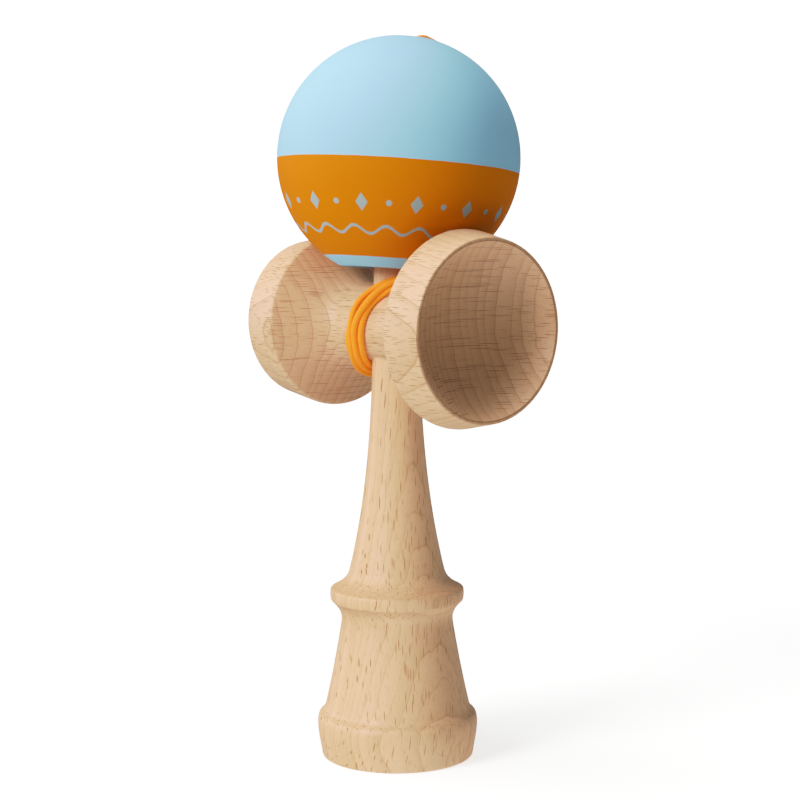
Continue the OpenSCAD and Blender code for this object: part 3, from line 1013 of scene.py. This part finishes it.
studio = {
    "reach": 5.0,  # metres
    "floor": (0.8, 0.784),  # paler and darker grain
    "floorGrain": 30.0,
    "floorGlow": 1.0,
    "floorFade": (0.14, 0.42),  # the floor melts into the backdrop over this distance
    "backdrop": 2.2,
    "ambient": 0.29,
    "ambientTint": (0.93, 1.0, 0.98, 1),
    "lampTint": (1.0, 0.985, 0.97),
    "lights": {  # watts, metres, and the way to the light: right, towards the camera, up
        "key": {"power": 18.2, "size": 0.6, "aim": (-0.74, 0.61, 0.42), "away": 1.25},
        "top": {"power": 10.2, "size": 0.8, "aim": (-0.15, 0.05, 1.0), "away": 1.1},
        "rim": {"power": 0.4, "size": 0.5, "aim": (0.9, -0.45, 0.35), "away": 1.2},
        "side": {"power": 4.0, "size": 0.5, "aim": (-0.92, -0.35, 0.2), "away": 1.2},
        "bounce": {"power": 1.7, "size": 0.6, "aim": (0.15, 0.3, -0.9), "away": 0.36},
    },
    "target": (0.0, 0.0, 0.1),
    # light to tone
    "film": ((0.0, 0.0), (0.3, 0.3), (0.54, 0.5), (1.02, 0.72), (1.36, 0.85), (2.0, 1.0)),
}


def floorFinish(spec):
    finish = Finish("floorPale")
    place = finish.add("ShaderNodeTexCoord")["Object"]
    grain = finish.noise(place, spec["floorGrain"])
    far = finish.add("ShaderNodeVectorMath", {"operation": "LENGTH"}, {0: place})["Value"]
    shown = 1 - finish.fade(far, *spec["floorFade"])
    pale, soft = ((level, level, level, 1) for level in spec["floor"])
    return finish.close(Base_Color=finish.blend(grain, pale, soft), Roughness=0.9, Specular_IOR_Level=0.0,
                        Emission_Color=(1, 1, 1, 1), Emission_Strength=spec["floorGlow"], Alpha=shown)


def backdropFinish(spec):
    finish = Finish("backdropWhite")
    return finish.close(Base_Color=(0, 0, 0, 1), Roughness=1.0, Specular_IOR_Level=0.0,
                        Emission_Color=(1, 1, 1, 1), Emission_Strength=spec["backdrop"])


def makeStage(spec):
    mesh = bmesh.new()
    bmesh.ops.create_circle(mesh, cap_ends=True, segments=64, radius=spec["floorFade"][1])
    floor = meshObject("floor", mesh)
    painted(floor, floorFinish(spec))
    mesh = bmesh.new()
    bmesh.ops.create_uvsphere(mesh, u_segments=64, v_segments=32, radius=spec["reach"])
    backdrop = meshObject("backdrop", mesh)
    painted(backdrop, backdropFinish(spec))
    # both only show to the camera and light nothing
    for sheet in (floor, backdrop):
        sheet.visible_diffuse = False
        sheet.visible_glossy = False
        sheet.visible_shadow = False
    print("floor and backdrop set")


def makeLight(spec):
    world = bpy.data.worlds.new("studio")
    world.use_nodes = True
    sky = world.node_tree.nodes["Background"]
    sky.inputs["Color"].default_value = spec["ambientTint"]
    sky.inputs["Strength"].default_value = spec["ambient"]
    scene.world = world
    heading = math.radians(photoCamera["heading"])
    right = Vector((math.cos(heading), math.sin(heading), 0))
    toCamera = Vector((math.sin(heading), -math.cos(heading), 0))
    target = Vector(spec["target"])
    for name, light in spec["lights"].items():
        aim = right * light["aim"][0] + toCamera * light["aim"][1] + Vector((0, 0, light["aim"][2]))
        data = bpy.data.lights.new(name, "AREA")
        data.shape = "DISK"
        data.size = light["size"]
        data.energy = light["power"]
        data.color = spec["lampTint"]
        lamp = bpy.data.objects.new(name, data)
        lamp.location = target + aim.normalized() * light["away"]
        lamp.rotation_euler = (-aim).to_track_quat("-Z", "Y").to_euler()
        scene.collection.objects.link(lamp)
    print("lights set:", ", ".join(spec["lights"]))


def setFilm(spec):
    view = scene.view_settings
    view.view_transform = "Standard"
    view.use_curve_mapping = True
    brightest = spec["film"][-1][0]
    view.curve_mapping.white_level = (brightest,) * 3
    curve = view.curve_mapping.curves[3]
    for light, tone in spec["film"][1:-1]:
        curve.points.new(light / brightest, tone)
    view.curve_mapping.update()


makeStage(studio)
makeLight(studio)
setFilm(studio)
